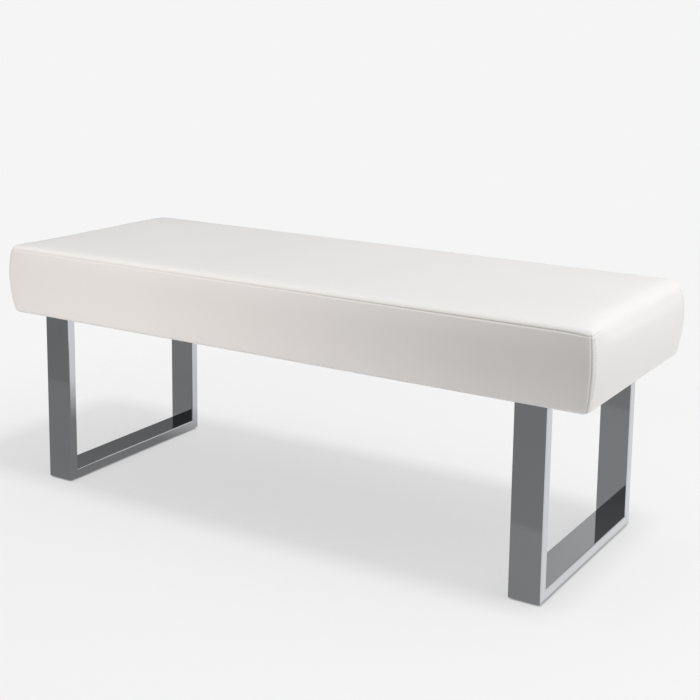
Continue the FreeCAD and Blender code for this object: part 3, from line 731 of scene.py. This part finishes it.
    def mark_seams(self) -> tuple[np.ndarray, np.ndarray]:
        """Measures each point's distance from the seams on the start form.

        Returns:
            The distance from the top seam and from the nearest corner seam, in metres.
        """
        if "top_seam" not in self.piece.data.attributes:
            points = points_of(self.piece)
            climb = points[:, 2] - self.seam
            bent = self.edge_roll * np.arcsin(np.clip(climb / self.edge_roll, 0, 1))
            top_seam = np.where(climb > 0, bent, -climb)
            turn = np.where(points[:, 1] > 0, self.rear_round, self.front_round)
            beyond_x = np.abs(points[:, 0]) - (self.half_length - turn)
            beyond_y = np.abs(points[:, 1]) - (self.half_depth - turn)
            corner_seam = np.abs(beyond_x - beyond_y) / math.sqrt(2)
            corner_seam = np.where(np.minimum(beyond_x, beyond_y) > -2 * MM, corner_seam, 1.0)
            corner_seam = np.where(points[:, 2] > self.low.z + MM, corner_seam, 1.0)
            for name, distance in (("top_seam", top_seam), ("corner_seam", corner_seam)):
                layer = self.piece.data.attributes.new(name, "FLOAT", "POINT")
                layer.data.foreach_set("value", distance)
        found = []
        for name in ("top_seam", "corner_seam"):
            distance = np.empty(len(self.piece.data.vertices))
            self.piece.data.attributes[name].data.foreach_get("value", distance)
            found.append(distance)
        return found[0], found[1]

    def groove(self, distance: np.ndarray) -> np.ndarray:
        """The height of a sewn seam: a sunk line between two puffed lips.

        Args:
            distance: Distances from the seam.

        Returns:
            How far the surface stands out, in metres.
        """
        sunk = self.groove_depth * np.exp(-((distance / self.groove_width) ** 2))
        lip = self.lip_rise * np.exp(-(((distance - self.lip_place) / self.lip_width) ** 2))
        return lip - sunk

    def sew(self) -> None:
        """Sinks the seams, puckers the cloth beside them and marks where painted shade greys their grooves."""
        top_seam, corner_seam = self.mark_seams()
        points = points_of(self.piece)
        on_wall = np.clip((self.seam + MM - points[:, 2]) / self.wall_fade, 0, 1)
        on_end = np.clip(2 * ((np.abs(points[:, 0]) - self.half_length) / self.end_roll + 1), 0, 1)
        from_corner = np.clip((self.half_depth - np.abs(points[:, 1])) / self.end_seam_reach, 0, 1)
        sewn = 1 - (1 - self.end_seam_share) * on_end * from_corner
        # The top seam's groove is deeper toward the right, and its painted shade darker there.
        seam_share_by_x = np.clip(points[:, 0] / self.half_length, -0.5, 0.5) + 0.5
        seam_share_by_x = self.left_seam_share + (self.right_seam_share - self.left_seam_share) * seam_share_by_x
        height = seam_share_by_x * sewn * self.groove(top_seam) + on_wall * self.groove(corner_seam)
        along = points[:, 0] + 1.37 * points[:, 1]
        ripple = sum(np.sin(math.tau * along / length + turn)
                     for length, turn in self.pucker_waves) / len(self.pucker_waves)
        height += sewn * self.pucker * ripple * np.exp(-top_seam / self.pucker_reach)
        upright = points[:, 2] / self.corner_wave
        height += on_wall * self.pucker * np.sin(math.tau * upright) * np.exp(-corner_seam / self.pucker_reach)
        set_points(self.piece, points + normals_of(self.piece) * height[:, None])
        # Painted shade along the seams, stronger toward the right: the leatherette greys where this mark is high.
        painted_seam_shade = seam_share_by_x * sewn ** 2 * np.exp(-((top_seam / self.groove_width) ** 2))
        painted_seam_shade = np.maximum(painted_seam_shade, on_wall * np.exp(-((corner_seam / self.groove_width) ** 2)))
        layer = self.piece.data.attributes.new("painted_seam_shade", "FLOAT", "POINT")
        layer.data.foreach_set("value", painted_seam_shade)
        for name in ("top_seam", "corner_seam"):
            self.piece.data.attributes.remove(self.piece.data.attributes[name])

    def finish(self, skin: bpy.types.Material) -> None:
        """Smooths the cushion, dresses it and hands it to the frame.

        Args:
            skin: The leatherette.
        """
        activate(self.piece)
        round_off = self.piece.modifiers.new("round_off", "SUBSURF")
        round_off.levels = round_off.render_levels = 1
        bpy.ops.object.modifier_apply(modifier=round_off.name)
        bpy.ops.object.mode_set(mode="EDIT")
        bpy.ops.mesh.select_all(action="SELECT")
        bpy.ops.mesh.normals_make_consistent(inside=False)
        bpy.ops.object.mode_set(mode="OBJECT")
        bpy.ops.object.shade_smooth()
        self.piece.data.materials.append(skin)
        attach(self.piece, "root")
        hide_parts(*self.panels, *self.padding)


@dataclass
class CornerStitching:
    """A row of topstitches on each end panel, beside its corner seams."""

    thread: float = 0.9 * MM
    length: float = 3.4 * MM
    pitch: float = 4.6 * MM
    from_corner: float = 0.5 * MM
    top_margin: float = 9 * MM
    hem_margin: float = 26 * MM

    def build(self, cushion: Cushion, twist: bpy.types.Material) -> bpy.types.Object:
        """Lays the stitches on the cushion.

        Args:
            cushion: The finished cushion.
            twist: The thread's material.

        Returns:
            The stitching, as one piece.
        """
        pattern = self.stitch()
        rows = []
        for right in (-1, 1):
            for rear in (-1, 1):
                rows += self.row(cushion, pattern, right, rear)
        bpy.data.objects.remove(pattern)
        deselect()
        for stitch in rows:
            stitch.select_set(True)
        bpy.context.view_layer.objects.active = rows[0]
        bpy.ops.object.join()
        piece = bpy.context.object
        piece.name = "corner_stitching"
        settle(piece)
        bpy.ops.object.shade_smooth()
        piece.data.materials.clear()
        piece.data.materials.append(twist)
        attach(piece, "root")
        return piece

    def stitch(self) -> bpy.types.Object:
        """Models one stitch that stands upright, with ends that dip into the cloth.

        Returns:
            The pattern stitch, at the origin.
        """
        deselect()
        bpy.ops.mesh.primitive_cylinder_add(
            vertices=6, radius=self.thread / 2, depth=self.length / 2, end_fill_type="NGON")
        pattern = bpy.context.object
        pattern.name = "stitch_pattern"
        for end in (-1, 1):
            bpy.ops.object.mode_set(mode="EDIT")
            pick(pattern, Pick.FACE, lambda corners: min(end * corner.z for corner in corners) > 0)
            bpy.ops.mesh.extrude_region_move(
                TRANSFORM_OT_translate={"value": (-self.thread / 2, 0.0, end * self.length / 4)})
            bpy.ops.transform.resize(value=(0.6, 0.6, 1.0))
            bpy.ops.object.mode_set(mode="OBJECT")
        return pattern

    def row(self, cushion: Cushion, pattern: bpy.types.Object, right: int,
            rear: int) -> list[bpy.types.Object]:
        """Copies the stitch down one corner.

        Args:
            cushion: The finished cushion.
            pattern: The stitch to copy.
            right: 1 for the right end panel and -1 for the left one.
            rear: 1 for its rear corner and -1 for its front one.

        Returns:
            The copies.
        """
        copies = []
        y = rear * (cushion.high.y - cushion.round_at(rear) - self.from_corner)
        level = cushion.seam - self.top_margin
        while level > cushion.low.z + self.hem_margin:
            start = Vector((right * (cushion.high.x + 0.1), y, level))
            hit, place, normal, _ = cushion.piece.ray_cast(start, Vector((-right, 0.0, 0.0)))
            if hit:
                copy = pattern.copy()
                copy.data = pattern.data.copy()
                bpy.context.collection.objects.link(copy)
                out = normal.normalized()
                down = (Vector((0.0, 0.0, 1.0)) - out * out.z).normalized()
                turn = Matrix((out, down.cross(out), down)).transposed().to_4x4()
                copy.matrix_world = Matrix.Translation(place + out * self.thread * 0.1) @ turn
                copies.append(copy)
            level -= self.pitch
        return copies


@dataclass
class DustCover:
    """The black cloth under the seat, with turned edges and a little slack."""

    node: str = "dust_cover"
    turning: float = 14 * MM
    net: float = 20 * MM
    slack: float = 1.2 * MM
    bay: float = 0.44

    def build(self, cloth: bpy.types.Material) -> bpy.types.Object:
        """Models the dust cover.

        Args:
            cloth: The spun-bonded cloth.

        Returns:
            The dust cover.
        """
        low, high = (Vector(corner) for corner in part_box(self.node))
        size = high - low
        deselect()
        bpy.ops.mesh.primitive_grid_add(
            x_subdivisions=round(size.x / self.net), y_subdivisions=round(size.y / self.net), size=1.0,
            location=(0.0, 0.0, high.z))
        piece = bpy.context.object
        piece.name = "underside_cloth"
        piece.scale = (size.x, size.y, 1.0)
        settle(piece)
        points = points_of(piece)
        across = np.cos(np.clip(points[:, 1] / (high.y - self.turning), -1, 1) * math.pi / 2)
        along = np.clip((self.bay - np.abs(points[:, 0])) / 0.1, 0, 1)
        points[:, 2] -= self.slack * across * along
        set_points(piece, points)
        bpy.ops.object.mode_set(mode="EDIT")
        pick(piece, Pick.FACE, lambda corners: any(
            abs(corner.x) > high.x - MM or abs(corner.y) > high.y - MM for corner in corners))
        bpy.ops.mesh.inset(thickness=2 * MM, depth=0.0, use_boundary=False)
        bpy.ops.object.mode_set(mode="OBJECT")
        body = piece.modifiers.new("body", "SOLIDIFY")
        body.thickness = size.z
        body.offset = -1.0
        bpy.ops.object.modifier_apply(modifier=body.name)
        bpy.ops.object.shade_smooth_by_angle(angle=math.radians(40))
        piece.data.materials.append(cloth)
        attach(piece, "root")
        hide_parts(self.node)
        return piece


@dataclass
class CarriedNodes:
    """The frame, legs and fixings that keep their CAD shape and get a finish by slot."""

    finishes: dict[Slot, Finish]
    painted: dict[Slot, bpy.types.Material] = field(default_factory=dict)

    def material(self, slot: Slot) -> bpy.types.Material:
        """The slot's material, made the first time that it is asked for."""
        if slot not in self.painted:
            self.painted[slot] = self.finishes[slot].build()
        return self.painted[slot]

    def dress(self) -> int:
        """Puts each slot's material on its nodes.

        Returns:
            The number of nodes dressed.
        """
        known = {slot.value: slot for slot in Slot}
        count = 0
        for part in frame["record"]["subparts"]:
            slot = known.get(part["material_slot"])
            if slot is None:
                continue
            mesh = frame["nodes"][part["node"]].data
            mesh.materials.clear()
            mesh.materials.append(self.material(slot))
            count += 1
        return count


@dataclass(frozen=True)
class Softbox:
    """One square studio lamp behind diffusing cloth."""

    name: str
    place: Point
    aim: Point
    side: float
    power: float
    tint: str = "#FFFFFF"
    fill: bool = False

    def build(self, floor: bpy.types.Object) -> None:
        """Hangs the lamp and turns it to its aim; a fill lamp casts no shadow and is flagged off the floor.

        Args:
            floor: The studio floor.
        """
        deselect()
        bpy.ops.object.light_add(type="AREA", location=self.place)
        lamp = bpy.context.object
        lamp.name = self.name
        lamp.data.shape = "SQUARE"
        lamp.data.size = self.side
        lamp.data.energy = self.power
        lamp.data.color = linear(self.tint)[:3]
        lamp.data.use_shadow = not self.fill
        lamp.visible_camera = False
        lamp.visible_glossy = False
        lamp.rotation_euler = (Vector(self.aim) - Vector(self.place)).to_track_quat("-Z", "Y").to_euler()
        if self.fill:
            flagged = bpy.data.collections.new(f"{self.name}_flag")
            flagged.objects.link(floor)
            flagged.collection_objects[0].light_linking.link_state = "EXCLUDE"
            lamp.light_linking.receiver_collection = flagged


@dataclass
class Studio:
    """The pale floor, the lamps and the room that the chrome mirrors."""

    paper: str = "#F5F5F5"
    mirrored_paper: str = "#DFDFDF"
    boards: str = "#7C7C7C"
    near_boards: str = "#868686"
    floor_side: float = 7.0
    fade_from: float = 0.75
    fade_to: float = 1.4
    shade_share: float = 0.37
    board_side: tuple[float, float] = (0.556, 0.549)
    board_back: tuple[float, float] = (0.35, 0.1)
    paper_front: tuple[float, float] = (-0.5, -0.9)
    plank_skew: Point = (-0.155, 1.0, 0.0)
    plank_edge: tuple[float, float] = (-0.575, -0.555)
    mirror_span: tuple[float, float] = (-0.6, 0.4)
    mirror_gain: float = 1.22
    card_span: tuple[float, float] = (-1.8, 1.2)
    contact_reach: float = 8 * MM
    contact_tone: float = 0.15
    dim: float = 0.13
    bright: float = 0.76
    front: float = 0.03
    overhead: float = 0.7
    card_place: Point = (0.4, 2.2, 0.8)
    card_side: float = 5.0
    lamps: tuple[Softbox, ...] = (
        Softbox("top_softbox", (1.35, -0.2, 5.0), (0.0, 0.0, 0.4), 0.9, 108.0),
        Softbox("right_softbox", (2.7, 0.3, 0.6), (0.6, 0.0, 0.4), 1.5, 12.0),
        Softbox("left_softbox", (-0.42, -1.45, 0.35), (-0.42, 0.0, 0.4), 0.6, 9.7, "#FFF8F4", True),
    )

    def build(self) -> None:
        """Makes the whole studio."""
        floor = self.floor()
        self.card()
        self.room()
        for lamp in self.lamps:
            lamp.build(floor)

    def floor(self) -> bpy.types.Object:
        """Lays white paper that fades into the background, with dark boards in front of it for the chrome. Its
        glow is darkened next to the legs with painted contact shadow, and to reflection rays it glows by itself as
        a painted reflection, brighter toward the right.

        Returns:
            The floor.
        """
        deselect()
        bpy.ops.mesh.primitive_plane_add(size=self.floor_side)
        floor = bpy.context.object
        floor.name = "studio_floor"
        material = bare_material("white_paper_sweep")
        tree = material.node_tree
        # Ambient occlusion darkens the floor's glow next to the legs: a painted contact shadow.
        near = add_node(tree, "AmbientOcclusion", inputs={"Distance": self.contact_reach})
        contact = ramp(tree, near.outputs["AO"], 0.0, 0.6, self.contact_tone)
        path = add_node(tree, "LightPath")
        ray = path.outputs["Is Camera Ray"]
        place = add_node(tree, "TexCoord").outputs["Object"]
        way = add_node(tree, "SeparateXYZ", inputs={0: place})
        left = ramp(tree, way.outputs["X"], self.board_side[0], self.board_side[1])
        ahead = ramp(tree, way.outputs["Y"], self.board_back[0], self.board_back[1])
        bare = add_node(tree, "Math", {"operation": "MULTIPLY"}, {
            0: left, 1: ahead})
        off_paper = ramp(tree, way.outputs["Y"], self.paper_front[0], self.paper_front[1])
        lost = add_node(tree, "Math", {"operation": "SUBTRACT", "use_clamp": True}, {
            0: off_paper, 1: ray})
        tone = blend(tree, lost.outputs[0], linear(self.paper), linear(self.boards))
        paper = add_node(tree, "BsdfDiffuse", inputs={"Color": tone})
        # To reflection rays the floor glows by itself, as paper and dark boards: a painted reflection for the
        # chrome, brighter toward the right and darkened by the painted contact shadow.
        skew = add_node(tree, "VectorMath", {"operation": "DOT_PRODUCT"}, {
            0: place, 1: self.plank_skew})
        close = ramp(tree, skew.outputs["Value"], self.plank_edge[0], self.plank_edge[1])
        plank = blend(tree, close, linear(self.boards), linear(self.near_boards))
        ground = blend(tree, bare.outputs[0], linear(self.mirrored_paper), plank)
        level = ramp(tree, way.outputs["X"], self.mirror_span[0], self.mirror_span[1], 1.0, self.mirror_gain)
        dimmed = add_node(tree, "Math", {"operation": "MULTIPLY"}, {
            0: level, 1: contact})
        mirrored = add_node(tree, "Emission", inputs={
            "Color": ground, "Strength": dimmed.outputs[0]})
        lit = add_node(tree, "MixShader", inputs={
            0: path.outputs["Is Glossy Ray"], 1: paper.outputs[0], 2: mirrored.outputs[0]})
        # Camera rays see the paper glowing evenly, darkened next to the legs by the painted contact shadow.
        glow = add_node(tree, "Emission", inputs={
            "Color": linear(self.paper), "Strength": contact})
        share = add_node(tree, "Math", {"operation": "MULTIPLY"}, {0: ray, 1: 1 - self.shade_share})
        seen = add_node(tree, "MixShader", inputs={
            0: share.outputs[0], 1: lit.outputs[0], 2: glow.outputs[0]})
        far = add_node(tree, "VectorMath", {"operation": "LENGTH"}, {0: place})
        fade = add_node(tree, "MapRange", {"interpolation_type": "SMOOTHSTEP"}, {
            "Value": far.outputs["Value"], "From Min": self.fade_from, "From Max": self.fade_to})
        faded = add_node(tree, "Math", {"operation": "MULTIPLY"}, {0: fade.outputs["Result"], 1: ray})
        clear = add_node(tree, "BsdfTransparent")
        edge = add_node(tree, "MixShader", inputs={
            0: faded.outputs[0], 1: seen.outputs[0], 2: clear.outputs[0]})
        add_node(tree, "OutputMaterial", inputs={"Surface": edge.outputs[0]})
        floor.data.materials.append(material)
        return floor

    def card(self) -> None:
        """Stands a card behind the bench, which only the chrome sees: dim on its left, bright on its right."""
        deselect()
        bpy.ops.mesh.primitive_plane_add(
            size=self.card_side, location=self.card_place, rotation=(math.radians(90), 0.0, 0.0))
        card = bpy.context.object
        card.name = "studio_card"
        settle(card)
        card.visible_camera = card.visible_diffuse = card.visible_shadow = False
        # The card glows by itself, dim on its left and bright on its right: a painted reflection for the chrome.
        material = bare_material("glowing_card")
        tree = material.node_tree
        way = add_node(tree, "SeparateXYZ", inputs={0: add_node(tree, "TexCoord").outputs["Object"]})
        level = ramp(tree, way.outputs["X"], self.card_span[0], self.card_span[1], self.dim, self.bright)
        glow = add_node(tree, "Emission", inputs={"Strength": level})
        add_node(tree, "OutputMaterial", inputs={"Surface": glow.outputs[0]})
        card.data.materials.append(material)

    def room(self) -> None:
        """Sets the pale background, and for the light a room that is dark in front and bright at the right."""
        world = bpy.data.worlds.new("studio_room")
        bpy.context.scene.world = world
        world.use_nodes = True
        tree = world.node_tree
        tree.nodes.clear()
        way = add_node(tree, "SeparateXYZ", inputs={0: add_node(tree, "TexCoord").outputs["Generated"]})
        side = ramp(tree, way.outputs["X"], -0.6, 0.6, self.dim, self.bright)
        ahead = ramp(tree, way.outputs["Y"], 0.2, -0.5)
        low = add_node(tree, "Mix", inputs={
            0: ahead, 2: side, 3: self.front})
        height = ramp(tree, way.outputs["Z"], 0.3, 0.8)
        tone = add_node(tree, "Mix", inputs={
            0: height, 2: low.outputs[0], 3: self.overhead})
        lit = add_node(tree, "Background", inputs={"Color": tone.outputs[0]})
        pale = add_node(tree, "Background", inputs={"Color": linear(self.paper)})
        ray = add_node(tree, "LightPath").outputs["Is Camera Ray"]
        seen = add_node(tree, "MixShader", inputs={0: ray, 1: lit.outputs[0], 2: pale.outputs[0]})
        add_node(tree, "OutputWorld", inputs={"Surface": seen.outputs[0]})


@dataclass(frozen=True)
class PhotoCamera:
    """The camera that the photograph was taken with, as fitted to the bench's edges."""

    place: Point = (1.3346, -2.1034, 0.9745)
    yaw: float = 31.524
    pitch: float = 9.592
    roll: float = 0.738
    focal_px: float = 1318.1
    centre_px: float = 225.0
    frame_px: float = 700.0
    sensor_mm: float = 36.0

    def build(self) -> bpy.types.Object:
        """Sets up the camera.

        Returns:
            The camera, as the scene's own.
        """
        yaw, pitch, roll = (math.radians(angle) for angle in (self.yaw, self.pitch, self.roll))
        ahead = Vector((-math.sin(yaw) * math.cos(pitch), math.cos(yaw) * math.cos(pitch), -math.sin(pitch)))
        level = Vector((math.cos(yaw), math.sin(yaw), 0.0))
        plumb = level.cross(ahead)
        right = level * math.cos(roll) + plumb * math.sin(roll)
        up = plumb * math.cos(roll) - level * math.sin(roll)
        turn = Matrix((right, up, -ahead)).transposed().to_4x4()
        deselect()
        bpy.ops.object.camera_add()
        camera = bpy.context.object
        camera.name = "photo_camera"
        camera.matrix_world = Matrix.Translation(self.place) @ turn
        camera.data.sensor_width = self.sensor_mm
        camera.data.lens = self.focal_px / self.frame_px * self.sensor_mm
        camera.data.shift_y = (self.centre_px - self.frame_px / 2) / self.frame_px
        bpy.context.scene.camera = camera
        return camera


def main() -> None:
    """Builds the bench piece by piece, then the studio and the camera."""
    logging.basicConfig(level=logging.INFO, format="%(name)s: %(message)s")
    bpy.context.scene.view_settings.view_transform = "Standard"
    nodes = CarriedNodes({
        Slot.LEATHERETTE: Leatherette(),
        Slot.SOFTWOOD: SawnTimber("planed_pine"),
        Slot.PLYWOOD: SawnTimber("birch_plywood", "#DCC79F", "#C4A472", 1.5, (0.1, 0.1, 1.0)),
        Slot.CHROME: PolishedChrome(),
        Slot.ZINC: ZincPlate(),
        Slot.GLIDE: MouldedPolythene(),
        Slot.DUST_CLOTH: SpunCloth(),
    })
    LOG.info("%d CAD nodes dressed", nodes.dress())
    cushion = Cushion()
    LOG.info("%s: %d points", cushion.build(nodes.material(Slot.LEATHERETTE)).name,
             len(cushion.piece.data.vertices))
    stitching = CornerStitching().build(cushion, Thread().build())
    LOG.info("%s: %d points", stitching.name, len(stitching.data.vertices))
    LOG.info("%s in place", DustCover().build(nodes.material(Slot.DUST_CLOTH)).name)
    Studio().build()
    LOG.info("%s set", PhotoCamera().build().name)


if __name__ == "__main__":
    main()
